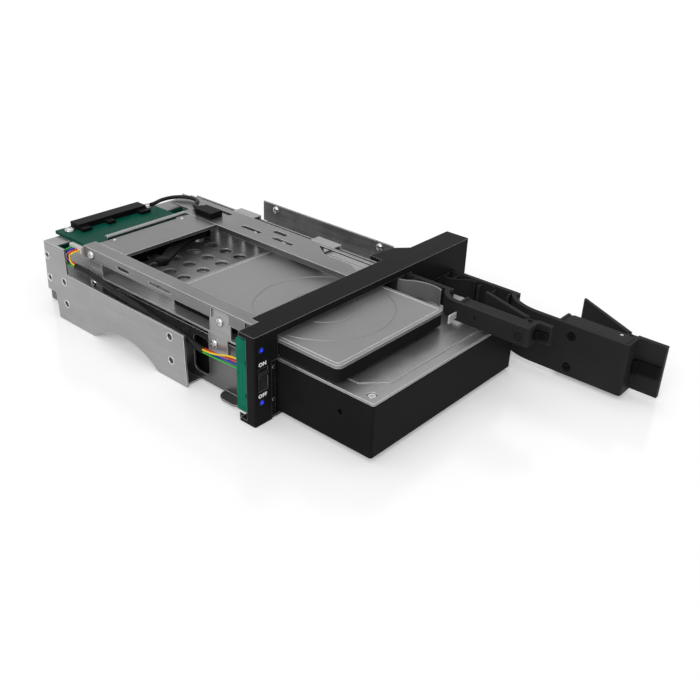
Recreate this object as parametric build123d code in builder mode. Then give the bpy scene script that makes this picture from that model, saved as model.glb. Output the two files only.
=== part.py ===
"""Hot swap drive cage for a 5.25 inch bay: one 3.5 inch and one 2.5 inch drive behind two swing doors.

Millimetres. X runs to the right seen from the front, Y to the rear, Z up. The origin is the middle of
the bezel's front face at its bottom edge. The doors stand open and the drives are drawn out at rest.
"""
import os
from math import cos, radians, sin

from build123d import *

os.makedirs("parts", exist_ok=True)

# Driving dimensions: bezel
bezel_width = 148.5
bezel_height = 42.0
bezel_depth = 9.0
bezel_front = 2.5
bezel_side = 2.2
left_wall_depth = 4.8
bezel_floor = 1.6
bezel_roof = 2.0
roof_reach = 13.4
roof_step_x = -63.0
strip_width = 9.75
post_width = 2.9
top_bar = 3.4
divider = 1.2
divider_z = 27.9
play = 0.3

# Driving dimensions: sheet metal cage
sheet = 0.8
plate_sheet = 1.0
bay_width = 146.0
bay_depth = 173.0
bay_wall_clear = 3.0
wall_top_left = 25.5
left_wall_rear = 162.0
plate_front = 44.5
plate_top = 25.5
plate_peak = 39.4
hole_pitch = 79.25
hole_front = 54.4
hole_rows = (10.0, 21.8)
mount_hole_r = 1.6
rail_top = 42.0
rail_wall_z = 36.3
board_thick = 1.6

# Driving dimensions: drives
big_size = (101.6, 147.0, 25.4)
big_out = -50.0
big_in = 20.0
small_size = (69.85, 100.0, 7.0)
small_out = -32.0
small_in = 16.5
cover_big = 1.2
cover_small = 1.5
groove = 0.5

# Driving dimensions: doors
skin = 2.2
pin_r = 1.5
recess_r = 2.5
pin_clear = 0.05
flap_thick = 2.0
flap_pin_r = 0.9
lid = 1.5
tongue_height = 6.0
tongue_thick = 1.8
tongue_depth = 2.5
tongue_throw = 3.0
leaf = 0.8

# Driving dimensions: switch and lights
switch_inset = 4.85
switch_z = 21.5
switch_opening = (5.0, 10.5)
rocker_half = 4.2
rocker_width = 4.6
rocker_pivot_y = 3.5
rocker_tilt = 8.0
rocker_pin_r = 0.8
light_r = 1.15
light_z = (10.9, 35.3)
light_inset = 3.85

# Driving dimensions: wiring
sheath_r = 1.5
wire_r = 0.42
loop_r = 1.0
bar_r = 1.1

# Places worked out from the driving dimensions
half_w = bezel_width / 2
half_bay = bay_width / 2
side_in = half_w - bezel_side
strip_in = -half_w + strip_width
post_x = (strip_in + 0.1, strip_in + 0.1 + post_width)
divider_top = divider_z + divider
upper_top = bezel_height - top_bar
floor_z = (sheet, 2 * sheet)
big_left = post_x[1] + 1.3
big_right = big_left + big_size[0]
big_z = floor_z[1] + 0.5
small_left = post_x[1] + 1.25
small_right = small_left + small_size[0]
left_rail_x = (small_left - 6.25, small_left + 0.75)
right_rail_x = (small_right - 13.1, small_right + 6.4)
tray_z = big_z + big_size[2] + 0.5
tray_top = tray_z + sheet
small_z = divider_top + play
shell_left = big_left - bay_wall_clear
shell_right = big_right + bay_wall_clear
big_rear_in = big_in + big_size[1]
small_rear_in = small_in + small_size[1]

# Places worked out for the rear board, the sockets and the wiring
deck_rear = small_rear_in + 7.5
deck_left = left_rail_x[0] + 2.5
right_rail_rear = deck_rear + 19.0
switch_x = -half_w + switch_inset
light_x = -half_w + light_inset
tray_left = left_rail_x[0] + sheet
tab_places = ((23.0, 36.0), (deck_rear - 12.0, deck_rear - 2.5))
foot_reach_left = half_bay - 15.0
foot_reach_right = half_bay - 33.0
bridge_left = -half_bay + 11.0
board_z = plate_peak
board_screw_places = ((deck_left + 5.0, deck_rear + 22.2), (deck_left + 53.0, deck_rear + 23.0))
board_screw_r = 1.2
socket_top = board_z + board_thick + 2.8
front_wire_x = -half_w + 3.6
front_board_rear = bezel_depth + 1.8
header_y = front_board_rear + 0.6
rear_header_x = -half_bay + 7.0
sheath_front = (-half_bay + 5.0, 38.0, 19.5)
sheath_rear = (-half_bay + 2.8, deck_rear + 2.0, 31.6)
notch_x = (big_left + 29.0, big_left + 72.0)
notch_z = (big_z + 1.4, big_z + 7.6)
notch_deep = 6.0
arm_x = small_left + 13.35
arm_near = ((0.0, -24.1), (8.9, -17.5), (18.9, -12.3), (34.9, -9.9))
arm_far = ((0.0, -29.3), (11.9, -22.3), (21.9, -17.3), (36.9, -14.7))
arm_z = (small_z + small_size[2] + 0.6, small_z + small_size[2] + 2.2)
screw_faces = [x - 1.3 for x in (tray_left, tray_left - sheet, shell_left - plate_sheet - sheet)]


def save(piece, name):
    """Label a finished piece and write its STEP file."""
    piece.part.label = name
    export_step(piece.part, f"parts/{name}.step")


def slab(x, y, z, mode=Mode.ADD):
    """Add or cut a block between two corners, given as one range for each axis."""
    with Locations(((x[0] + x[1]) / 2, (y[0] + y[1]) / 2, (z[0] + z[1]) / 2)):
        Box(x[1] - x[0], y[1] - y[0], z[1] - z[0], mode=mode)


def rod(x, y, z, radius, mode=Mode.ADD):
    """Add or cut an upright round rod over the height range z."""
    with Locations((x, y, (z[0] + z[1]) / 2)):
        Cylinder(radius, z[1] - z[0], mode=mode)


class Door:
    """Sizes of one door. s runs from the hinge pin to the free edge, depth from the outer face inward."""

    def __init__(self, name, pin, height, box_depth, scoop, box, end, flap_start, flap_angle):
        self.name = name
        self.pin = pin
        self.face_x = pin[0] + pin[1]
        self.height = height
        self.box_depth = box_depth
        self.scoop = scoop
        self.box = box
        self.end = end
        self.flap_start = flap_start
        self.flap_angle = flap_angle
        self.flap_pin_s = box[1] - skin - flap_thick
        self.tongue_z = (height[0] + height[1] - tongue_height * self.tongue_scale()) / 2

    def tongue_scale(self):
        """A low door has a lower tongue."""
        return min(1.0, (self.height[1] - self.height[0]) / 16.0)

    def at(self, s, depth):
        """Plan position of a point of the open door."""
        return (self.face_x - depth, self.pin[1] - s)

    def block(self, s, depth, z, mode=Mode.ADD):
        """Add or cut a block given along the door, through its depth and over its height."""
        x = (self.face_x - depth[1], self.face_x - depth[0])
        y = (self.pin[1] - s[1], self.pin[1] - s[0])
        slab(x, y, z, mode)


closed_edge = post_x[1] + 0.9
lower_pin = (big_right + 17.1, 6.5)
upper_pin = (small_right + 11.4, 5.5)
lower_reach = lower_pin[0] - closed_edge
upper_reach = upper_pin[0] - closed_edge
lower = Door("lower", lower_pin, (bezel_floor + 0.4, divider_z - play), 12.5, (43.5, 60.5),
             (lower_reach - 47.6, lower_reach - 12.6), lower_reach, lower_reach - 54.6, 28.7)
upper = Door("upper", upper_pin, (divider_top + play, upper_top - play), 10.5, (29.5, 39.4),
             (39.4, upper_reach - 6.1), upper_reach, 41.0, 17.4)
doors = (lower, upper)
slot_right = {door.name: door.face_x + 0.5 for door in doors}
light_places = [(light_x, z) for z in light_z]


def make_bezel():
    """Black moulded front frame with both drive slots, the hinge bearings and the control strip."""
    with BuildPart() as bezel:
        slab((-half_w, half_w), (0, bezel_depth), (0, bezel_height))
        slab((-side_in, side_in), (bezel_front, bezel_depth), (bezel_floor, bezel_height - bezel_roof),
             Mode.SUBTRACT)
        slab((roof_step_x, half_w), (bezel_depth, roof_reach), (bezel_height - bezel_roof, bezel_height))
        slab((-half_w, -side_in), (left_wall_depth, bezel_depth), (bezel_floor, bezel_height - bezel_roof),
             Mode.SUBTRACT)
        with BuildSketch(Plane.XY.offset(bezel_height - bezel_roof)):
            with BuildLine():
                Polyline((21.5, roof_reach), (22, 21), (37, 19.2), (43.5, roof_reach), close=True)
            make_face()
        extrude(amount=bezel_roof)
        slab((post_x[0] - 0.1, slot_right["lower"]), (0, bezel_front), (bezel_floor, divider_z),
             Mode.SUBTRACT)
        slab((post_x[1] + 0.5, slot_right["upper"]), (0, bezel_front), (divider_top, upper_top),
             Mode.SUBTRACT)
        slab((post_x[1], slot_right["lower"]), (1.0, roof_reach - 0.4), (divider_z, divider_top))
        slab((strip_in, half_w - 8.0), (0, 0.8), (0, 0.6), Mode.SUBTRACT)
        for door, z in ((lower, (0.4, divider_top)), (upper, (divider_z, bezel_height - 0.5))):
            rod(*door.pin, z, pin_r, Mode.SUBTRACT)
        width, height = switch_opening
        slab((switch_x - width / 2, switch_x + width / 2), (0, bezel_front),
             (switch_z - height / 2, switch_z + height / 2), Mode.SUBTRACT)
        with BuildSketch(Plane.XZ):
            with Locations(*light_places):
                Circle(light_r)
        extrude(amount=-bezel_front, mode=Mode.SUBTRACT)
        with BuildSketch(Plane.YZ.offset(-side_in)):
            with Locations((rocker_pivot_y, switch_z)):
                Circle(rocker_pin_r + pin_clear)
        extrude(amount=-0.9, mode=Mode.SUBTRACT)
        outer = bezel.edges().filter_by(Axis.Z).group_by(Axis.Y)[0].sort_by(Axis.X)
        fillet([outer[0], outer[-1]], 0.8)
        with BuildSketch(Plane.XY):
            with BuildLine():
                Polyline((-half_w + 0.4, bezel_depth - 0.4), (-half_w + bezel_side, bezel_depth - 0.4),
                         (-half_w + bezel_side, bezel_depth + 2.6), (-half_w + 1.2, bezel_depth + 1.4),
                         close=True)
            make_face()
        extrude(amount=2.0)
    save(bezel, "bezel")


def make_strike_post():
    """Upright bar between the control strip and the lower slot, with a pocket for each latch."""
    with BuildPart() as post:
        slab(post_x, (1.0, roof_reach), (bezel_floor, divider_z - 0.1))
        slab(post_x, (bezel_front, roof_reach), (divider_z - 0.1, upper_top))
        for door in doors:
            z = (door.tongue_z - 0.4, door.tongue_z + tongue_height * door.tongue_scale() + 0.4)
            y = (tongue_depth - 0.6, tongue_depth + tongue_thick + 0.6)
            slab((post_x[0] + 0.6, post_x[1]), y, z, Mode.SUBTRACT)
        with BuildSketch(Plane.XZ.offset(-1.0)):
            with Locations(*[(sum(post_x) / 2, z) for z in (8.8, 24.4)]):
                Circle(0.7)
        extrude(amount=-3.0, mode=Mode.SUBTRACT)
    save(post, "strike_post")
    with BuildPart() as screws:
        for z in (8.8, 24.4):
            with BuildSketch(Plane.XZ.offset(-0.6)):
                with Locations((sum(post_x) / 2, z)):
                    Circle(0.7)
            extrude(amount=-3.4)
    save(screws, "strike_post_screws")


def make_hinge_pins():
    """Steel pins that the two doors turn on, seated in the bezel's floor, divider and roof."""
    for door, z in ((lower, (0.4, divider_z + divider / 2)), (upper, (divider_z + divider / 2, 41.5))):
        with BuildPart() as pin:
            rod(*door.pin, z, pin_r)
        save(pin, f"{door.name}_hinge_pin")


def scoop_curve(door, wall):
    """Quarter ellipse of the finger scoop, at a distance wall inside its outer surface."""
    start, stop = door.scoop
    s_axis = stop - start + wall
    d_axis = door.box_depth - skin + wall
    return [(stop - s_axis * cos(radians(a)), d_axis * sin(radians(a))) for a in range(0, 91, 15)]


def make_door(door):
    """Moulded door: hinge barrel, ribbed face, finger scoop and the hollow latch box at its free end."""
    z0, z1 = door.height
    b0, b1 = door.box
    rib_depth = {"lower": (5.5, 2.4, 0.9, 3.0), "upper": (3.4, 0.9, 0.9)}[door.name]
    rib_start = 10.0
    rib_step = 10.0 if door.name == "lower" else 7.0
    with BuildPart() as panel:
        rod(*door.pin, (z0, z1), door.pin[1])
        door.block((0, door.scoop[0] + 1.0), (0, skin), (z0, z1))
        with BuildSketch(Plane.XY.offset(z0)):
            with BuildLine():
                outer = Spline(*[door.at(*p) for p in scoop_curve(door, 0)])
                inner = Spline(*[door.at(*p) for p in scoop_curve(door, skin)])
                Line(outer @ 0, inner @ 0)
                Line(outer @ 1, inner @ 1)
            make_face()
        extrude(amount=z1 - z0)
        door.block((door.scoop[1] - 0.01, b1), (door.box_depth - skin, door.box_depth), (z0, z1))
        door.block((b1 - skin, b1), (0, door.box_depth), (z0, z1))
        door.block((b1 - 0.1, door.end), (0, skin), (z0, z1))
        door.block((b0, b0 + skin), (skin + 0.4, door.box_depth), (z0, z1))
        for z in ((z0, z0 + lid), (z1 - lid, z1)):
            door.block((b0, b1), (skin + 0.4, door.box_depth), z)
            ear = (door.flap_pin_s - 2.2, b1)
            door.block(ear, (0.3, skin + 0.5), z)
        door.block((b0 + 1.4, b1 - 1.4), (0, door.box_depth - 1.2), (z1 - 0.5, z1), Mode.SUBTRACT)
        for i, reach in enumerate(rib_depth):
            s = rib_start + i * rib_step
            door.block((s, s + 1.2), (0.1, skin + reach - 0.6), (z0, z1 - 0.6))
        near = [e for e in panel.edges().filter_by(Axis.Z)
                if (Vector(*door.at(b1, door.box_depth), e.center().Z) - e.center()).length < 0.1]
        fillet(near, 1.4)
        rod(*door.pin, (z0, z1), pin_r + pin_clear, Mode.SUBTRACT)
        rod(*door.at(door.flap_pin_s, flap_thick), (z0, z1), flap_pin_r, Mode.SUBTRACT)
        tongue = (door.tongue_z - 0.15, door.tongue_z + tongue_height * door.tongue_scale() + 0.15)
        slot = (tongue_depth + tongue_thick - 0.15, tongue_depth + 2 * tongue_thick + 0.15)
        door.block((b1 - skin - 0.1, b1 + 0.1), slot, tongue, Mode.SUBTRACT)
        if door.name == "lower":
            with BuildSketch(Plane.YZ.offset(door.face_x - door.box_depth)):
                with Locations(*lower_screw_places()):
                    Circle(recess_r)
            extrude(amount=1.2, mode=Mode.SUBTRACT)
        else:
            with BuildSketch(Plane.YZ.offset(door.face_x - door.box_depth)):
                with Locations((-43.5, 33.8)):
                    Circle(1.0)
                with Locations((door.pin[1] - b1 + 4.6, 33.0)):
                    Circle(2.3)
            extrude(amount=1.4, mode=Mode.SUBTRACT)
    save(panel, f"{door.name}_door")


def lower_screw_places():
    """Y and Z of the two screws in the lower latch box."""
    return [(-72.6, lower.height[0] + share) for share in (4.0, 19.8)]


def make_door_screws():
    """Two cross-head screws sunk in the lower latch box."""
    with BuildPart() as screws:
        for y, z in lower_screw_places():
            with BuildSketch(Plane.YZ.offset(lower.face_x - lower.box_depth + 0.3)):
                with Locations((y, z)):
                    Circle(recess_r - 0.8)
                    RegularPolygon(0.8, 6, mode=Mode.SUBTRACT)
            extrude(amount=0.9)
    save(screws, "lower_door_screws")


def make_flap(door):
    """Release flap, hinged at the box's free end and drawn swung out, with its pin."""
    z0, z1 = door.height
    centre = door.at(door.flap_pin_s, flap_thick)
    turn = radians(door.flap_angle)
    reach = door.flap_pin_s - door.flap_start
    along = (sin(turn), cos(turn))
    out = (cos(turn), -sin(turn))

    def spot(length, rise):
        return (centre[0] + length * along[0] + rise * out[0],
                centre[1] + length * along[1] + rise * out[1])

    with BuildPart() as flap:
        with BuildSketch(Plane.XY.offset(z0 + 0.1)):
            with BuildLine():
                Polyline(spot(2.0, 0.0), spot(reach, 0.6), spot(reach + 0.6, flap_thick),
                         spot(0, flap_thick), spot(0, 1.1), spot(2.0, 1.1), close=True)
            make_face()
        extrude(amount=z1 - z0 - 0.2)
        inner = (z0 + lid + 0.2, z1 - lid - 0.2)
        rod(*centre, inner, flap_thick - 0.1)
        with BuildSketch(Plane.XY.offset(inner[0])):
            with BuildLine():
                Polyline(spot(0, 0), spot(4.0, 0), spot(4.0, flap_thick), spot(0, flap_thick), close=True)
            make_face()
        extrude(amount=inner[1] - inner[0])
        rod(*centre, (z0 - 1, z1 + 1), flap_pin_r + pin_clear, Mode.SUBTRACT)
        cut_ears = ((z0, inner[0]), (inner[1], z1))
        for z in cut_ears:
            rod(*centre, z, flap_thick + 1.0, Mode.SUBTRACT)
    save(flap, f"{door.name}_release_flap")
    with BuildPart() as pin:
        rod(*centre, (z0, z1), flap_pin_r)
    save(pin, f"{door.name}_flap_pin")


def make_tongue(door):
    """Latch tongue that slides through the end wall of the latch box."""
    height = tongue_height * door.tongue_scale()
    z = (door.tongue_z, door.tongue_z + height)
    with BuildPart() as tongue:
        step = tongue_depth + tongue_thick
        door.block((door.box[1] - 13.0, door.box[1] + 2.0), (step, step + tongue_thick), z)
        door.block((door.box[1] + 0.2, door.end - 0.4), (tongue_depth, step), z)
        nose = tongue.faces().sort_by(Axis.Y)[0]
        chamfer(nose.edges().filter_by(Axis.Z).sort_by(Axis.X)[0], 0.9)
    save(tongue, f"{door.name}_latch_tongue")


def make_leaf(door, profile):
    """Curved plate on the drive side of the door, which presses the drive home."""
    z0, z1 = door.height
    with BuildPart() as plate:
        with BuildSketch(Plane.XY.offset(z0 + 0.4)):
            with BuildLine():
                near = Spline(*[door.at(s, d) for s, d in profile])
                far = Spline(*[door.at(s, d - leaf) for s, d in profile])
                Line(near @ 0, far @ 0)
                Line(near @ 1, far @ 1)
            make_face()
        extrude(amount=z1 - z0 - 0.8)
        rod(*door.pin, (z0, z1), door.pin[1], Mode.SUBTRACT)
    save(plate, f"{door.name}_push_plate")


def make_controls():
    """Switch housing, rocker, light pipes, front board and its wire header behind the strip."""
    width, height = switch_opening
    cavity_x = (-side_in, switch_x + width / 2)
    cavity_z = (switch_z - height / 2, switch_z + height / 2)
    with BuildPart() as housing:
        slab((-side_in, post_x[0]), (bezel_front, bezel_depth), (cavity_z[0] - 1.6, cavity_z[1] + 1.6))
        slab(cavity_x, (bezel_front, bezel_depth - 1.2), cavity_z, Mode.SUBTRACT)
        with BuildSketch(Plane.YZ.offset(cavity_x[1])):
            with Locations((rocker_pivot_y, switch_z)):
                Circle(rocker_pin_r + pin_clear)
        extrude(amount=1.6, mode=Mode.SUBTRACT)
    save(housing, "switch_housing")
    tilt = Location((0, rocker_pivot_y, switch_z), (rocker_tilt, 0, 0))
    rocker_x = (switch_x - width / 2 + 0.2, switch_x + width / 2 - 0.2)
    with BuildPart() as rocker:
        with BuildSketch(Plane.YZ.offset(rocker_x[0])):
            with BuildLine():
                Polyline((-4.3, rocker_half), (-2.9, 0), (-4.3, -rocker_half), (-0.6, -rocker_half),
                         (1.6, -1.6), (1.6, 1.6), (-0.6, rocker_half), close=True)
            make_face()
        extrude(amount=rocker_x[1] - rocker_x[0])
        with BuildSketch(Plane.YZ.offset(-side_in - 0.8)):
            Circle(rocker_pin_r)
        extrude(amount=cavity_x[1] + 1.5 + side_in + 0.8)
    rocker.part = tilt * rocker.part
    save(rocker, "power_rocker")
    board_x = (-half_w + 0.25, -half_w + 0.25 + board_thick)
    board_y = (left_wall_depth, front_board_rear)
    with BuildPart() as board:
        slab(board_x, board_y, (5.0, 39.0))
        for z in (12.0, 27.6):
            slab(board_x, (board_y[0], board_y[0] + 0.9), (z, z + 2.0), Mode.SUBTRACT)
        rear = board.edges().filter_by(Axis.X).group_by(Axis.Y)[-1]
        fillet(rear, 1.2)
    save(board, "front_light_board")
    with BuildPart() as lights:
        with BuildSketch(Plane.XZ.offset(0.2)):
            with Locations(*light_places):
                Circle(light_r)
        extrude(amount=-left_wall_depth - 0.2)
    save(lights, "status_lights")
    with BuildPart() as header:
        slab((board_x[1], front_wire_x + 1.2), (bezel_depth, header_y), (20.2, 27.3))
    save(header, "front_wire_header")


def make_side_plate(side, name):
    """Side plate with the arch, the drive bay's screw pattern and the feet folded under the floor."""
    outer = -side * half_bay
    inner = outer + side * plate_sheet
    arch = (64.4, 88.5, 112.5)
    with BuildPart() as plate:
        with BuildSketch(Plane.YZ.offset(min(outer, inner))):
            with BuildLine():
                if side > 0:
                    Polyline((arch[0], 0), (plate_front, 0), (plate_front + 0.6, plate_top),
                             (deck_rear + 6.7, plate_top + 1), (deck_rear + 7.3, plate_peak),
                             (deck_rear + 23.6, plate_peak), (deck_rear + 25, 13.6),
                             (deck_rear + 18.4, 13.6), (deck_rear + 17.6, 0), (arch[2], 0))
                else:
                    Polyline((arch[0], 0), (plate_front + 1, 0), (plate_front + 1, plate_top - 1),
                             (deck_rear + 20.5, plate_top - 1), (deck_rear + 20.5, 12.6),
                             (deck_rear + 17.6, 12.6), (deck_rear + 17.6, 0), (arch[2], 0))
                ThreePointArc((arch[2], 0), (arch[1], 8.4), (arch[0], 0))
            make_face()
        extrude(amount=plate_sheet)
        with BuildSketch(Plane.YZ.offset(min(outer, inner))):
            with Locations(*[(hole_front + i * hole_pitch, z) for i in (0, 1) for z in hole_rows]):
                Circle(mount_hole_r)
            if side > 0:
                with Locations((deck_rear + 22, 20.4), (deck_rear + 22, 32.2)):
                    Circle(1.3)
        extrude(amount=plate_sheet, mode=Mode.SUBTRACT)
        foot_end = -foot_reach_left if side > 0 else foot_reach_right
        for y in ((plate_front + 1.2, arch[0]), (arch[2], deck_rear + 17)):
            slab(sorted((outer, foot_end)), y, (0, sheet))
        if side > 0:
            slab((outer, bridge_left), (deck_rear + 14.2, deck_rear + 23.6), (plate_peak - sheet, plate_peak))
    save(plate, name)


def make_bay_shell():
    """Folded tray that carries the large drive: floor, two walls, vents and the wire window."""
    left = (shell_left - plate_sheet, shell_left)
    right = (shell_right, shell_right + plate_sheet)
    with BuildPart() as shell:
        with BuildSketch(Plane.XY.offset(floor_z[0])):
            with BuildLine():
                Polyline((left[0], 14.0), (right[1], 14.0), (right[1], bay_depth),
                         (left[0] + 8.0, bay_depth), (left[0], left_wall_rear), close=True)
            make_face()
        extrude(amount=sheet)
        slab((post_x[1] + 3, shell_right - 3), (bezel_depth, 14.0), floor_z)
        slab(left, (14.0, left_wall_rear), (floor_z[0], wall_top_left))
        slab((left[0] - 6.0, left[0] + 1), (14.0, 29.0), floor_z)
        foot = [e for e in shell.edges().filter_by(Axis.Z) if e.center().X < left[0] - 5.9]
        fillet(foot, 5.0)
        slab(right, (14.0, bay_depth), (floor_z[0], divider_z - 0.9))
        with BuildSketch(Plane.YZ.offset(left[0])):
            with Locations((44.0, 13.5)):
                RectangleRounded(10.0, 18.0, 2.5)
        extrude(amount=plate_sheet, mode=Mode.SUBTRACT)
        with BuildSketch(Plane.XY.offset(floor_z[0])):
            with Locations((-9.4, 60.0)):
                with GridLocations(26.0, 40.0, 4, 2):
                    RectangleRounded(18.0, 28.0, 4.0)
        extrude(amount=sheet, mode=Mode.SUBTRACT)
        with BuildSketch(Plane.YZ.offset(right[0])):
            with Locations((100.0, 14.0)):
                with GridLocations(16.0, 1.0, 6, 1):
                    SlotOverall(12.0, 4.0, rotation=90)
        extrude(amount=plate_sheet, mode=Mode.SUBTRACT)
    save(shell, "lower_bay_shell")


def make_upper_tray():
    """Perforated tray of the small drive, with tabs up to the rail, down to the bay and over to the right."""
    up = (tray_left, tray_left + sheet)
    left_face = shell_left - plate_sheet
    right_face = shell_right + plate_sheet
    with BuildPart() as tray:
        slab((tray_left, right_rail_x[1]), (14.0, deck_rear + 26), (tray_z, tray_top))
        for y in tab_places:
            slab(up, y, (tray_z, rail_top - sheet))
            slab((left_face - sheet, left_face), (y[0] + 3, y[1] + 2), (17.5, tray_z))
        slab((right_rail_x[1] - sheet, right_rail_x[1]), (45.0, deck_rear + 26), (tray_z, rail_top - sheet))
        for y in ((60.0, 76.0), (deck_rear - 4, deck_rear + 12)):
            slab((right_rail_x[1], right_face + sheet), y, (tray_z, tray_top))
            slab((right_face, right_face + sheet), y, (18.0, tray_z))
        with BuildSketch(Plane.XY.offset(tray_z)):
            with Locations((small_left + 33.75, small_rear_in - 25.8)):
                with GridLocations(12.0, 10.4, 5, 6):
                    Circle(3.3)
        extrude(amount=sheet, mode=Mode.SUBTRACT)
        with BuildSketch(Plane.YZ.offset(right_rail_x[1] - sheet)):
            with Locations((97.0, 34.5)):
                with GridLocations(10.0, 1.0, 10, 1):
                    SlotOverall(8.0, 3.0, rotation=90)
        extrude(amount=sheet, mode=Mode.SUBTRACT)
        rounded = tray.edges().filter_by(Axis.X).group_by(Axis.Z)[-1]
        tops = [e for e in rounded if e.center().X < tray_left + sheet]
        fillet(tops, 2.0)
    save(tray, "upper_bay_tray")


def make_rails():
    """Folded rails along the top of the cage, the plate between them and the rear bridge."""
    flange = (rail_top - sheet, rail_top)
    with BuildPart() as left:
        slab((left_rail_x[0], left_rail_x[1]), (roof_reach, deck_rear), flange)
        slab((left_rail_x[0], roof_step_x), (bezel_depth, roof_reach), flange)
        slab((left_rail_x[0], tray_left), (roof_reach, deck_rear), (rail_wall_z, flange[0]))
        with BuildSketch(Plane.YZ.offset(left_rail_x[0])):
            with Locations((28.6, 36.0)):
                RectangleRounded(11.0, 10.0, 1.4)
            with Locations((67.5, 38.7)):
                SlotOverall(15.0, 1.6)
            with Locations((94.0, 38.7)):
                SlotOverall(9.0, 1.6)
        extrude(amount=sheet, mode=Mode.SUBTRACT)
    save(left, "left_top_rail")
    with BuildPart() as right:
        with BuildSketch(Plane.XY.offset(flange[0])):
            with BuildLine():
                Polyline((right_rail_x[0], roof_reach), (right_rail_x[0], deck_rear + 3),
                         (right_rail_x[0] + 5, deck_rear + 3), (right_rail_x[0] + 5, right_rail_rear), (right_rail_x[1], right_rail_rear),
                         (right_rail_x[1], 48.9), (right_rail_x[1] - 3.3, 45.1),
                         (right_rail_x[0] + 10.9, 37.4), (right_rail_x[0] + 10.9, 20.4),
                         (right_rail_x[0] + 7.8, roof_reach), close=True)
            make_face()
            with Locations((right_rail_x[0] + 8.1, 62.0), (right_rail_x[0] + 8.1, 84.0)):
                SlotOverall(14.0, 2.6, rotation=90, mode=Mode.SUBTRACT)
            with Locations((right_rail_x[1] - 5, 70.0), (right_rail_x[1] - 5, 110.0)):
                RectangleRounded(3.0, 9.0, 0.8, mode=Mode.SUBTRACT)
        extrude(amount=sheet)
        slab((right_rail_x[1] - 2, right_rail_x[1]), (roof_reach, 49.0), flange)
        slab((right_rail_x[0], right_rail_x[0] + sheet), (roof_reach, 100.0), (39.2, flange[0]))
    save(right, "right_top_rail")
    with BuildPart() as cross:
        y = (deck_rear - 23.0, deck_rear - 3.0)
        slab((left_rail_x[1] - 2.5, right_rail_x[0] + 2.5), y, (flange[0] - sheet, flange[0]))
        slab((left_rail_x[1], right_rail_x[0]), y, flange)
    save(cross, "top_cross_plate")
    with BuildPart() as bridge:
        slab((bridge_left, right_rail_x[1] - sheet), (deck_rear + 15, deck_rear + 25.8), (board_z - sheet, board_z))
        for x, y in board_screw_places:
            rod(x, y, (board_z - sheet, board_z), board_screw_r, Mode.SUBTRACT)
    save(bridge, "rear_bridge")


def make_rear_board():
    """Green rear board with its socket, screws, wire header, bar and the loop cable with its plug."""
    board_top = board_z + board_thick
    with BuildPart() as board:
        with BuildSketch(Plane.XY.offset(board_z)):
            with BuildLine():
                Polyline((deck_left, deck_rear + 0.4), (deck_left + 2.5, deck_rear - 2.4),
                         (deck_left + 51.8, deck_rear - 1.6), (deck_left + 57, deck_rear + 4.0),
                         (deck_left + 57, deck_rear + 27), (deck_left, deck_rear + 27), close=True)
            make_face()
        extrude(amount=board_thick)
        for x, y in board_screw_places:
            rod(x, y, (board_z, board_top), board_screw_r, Mode.SUBTRACT)
    save(board, "rear_board")
    with BuildPart() as screws:
        for x, y in board_screw_places:
            rod(x, y, (board_z - sheet, board_top), board_screw_r)
            rod(x, y, (board_top, board_top + 1.1), 2.3)
            slab((x - 1.5, x + 1.5), (y - 0.3, y + 0.3), (board_top + 0.6, board_top + 1.1), Mode.SUBTRACT)
            slab((x - 0.3, x + 0.3), (y - 1.5, y + 1.5), (board_top + 0.6, board_top + 1.1), Mode.SUBTRACT)
    save(screws, "rear_board_screws")
    with BuildPart() as socket:
        slab((deck_left + 8.5, deck_left + 49.5), (deck_rear + 19.5, deck_rear + 26.5), (board_top, socket_top))
        for x, wide in ((11.0, 5.0), (25.5, 4.0), (46.5, 6.0)):
            y = (deck_rear + 15.5, deck_rear + 19.5)
            slab((deck_left + x - wide / 2, deck_left + x + wide / 2), y, (board_top, socket_top - 1.2))
    save(socket, "rear_board_socket")
    with BuildPart() as bar:
        with Locations(Location((deck_left + 34.8, deck_rear + 0.4, board_top + bar_r), (0, 90, 0))):
            Cylinder(bar_r, 48.0)
    save(bar, "rear_board_bar")
    with BuildPart() as header:
        slab((rear_header_x, rear_header_x + 3.2), (deck_rear + 2.8, deck_rear + 12.6), (board_z - 3.2, board_z))
    save(header, "rear_wire_header")
    with BuildPart() as plug:
        x = right_rail_x[0]
        slab((x + 2.1, x + 9.9), (deck_rear - 16.5, deck_rear - 4.4), (rail_top, rail_top + 3.2))
        slab((x + 3.9, x + 8.1), (deck_rear - 4.4, deck_rear - 2.6), (rail_top + 0.4, rail_top + 2.9))
    save(plug, "loop_cable_plug")
    loop_z = rail_top + 1.65
    path = [(-8.7, 18.5), (-1.6, 20.0), (8.7, 18.6), (13.2, 12.2), (11.4, 4.4), (6.0, -2.6)]
    loop = [(right_rail_x[0] + x, deck_rear + y, loop_z) for x, y in path]
    run_wire([(loop, (1, 0, 0), (0, -1, 0))], loop_r, "loop_cable")


def run_wire(runs, radius, name):
    """Sweep round wires along smooth lines, each given as points with its two end directions."""
    with BuildPart() as wire:
        for points, start, finish in runs:
            with BuildLine() as line:
                Spline(*points, tangents=[start, finish])
            with BuildSketch(Plane(origin=points[0], z_dir=start)):
                Circle(radius)
            sweep(path=line.wires()[0])
    save(wire, name)


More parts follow.
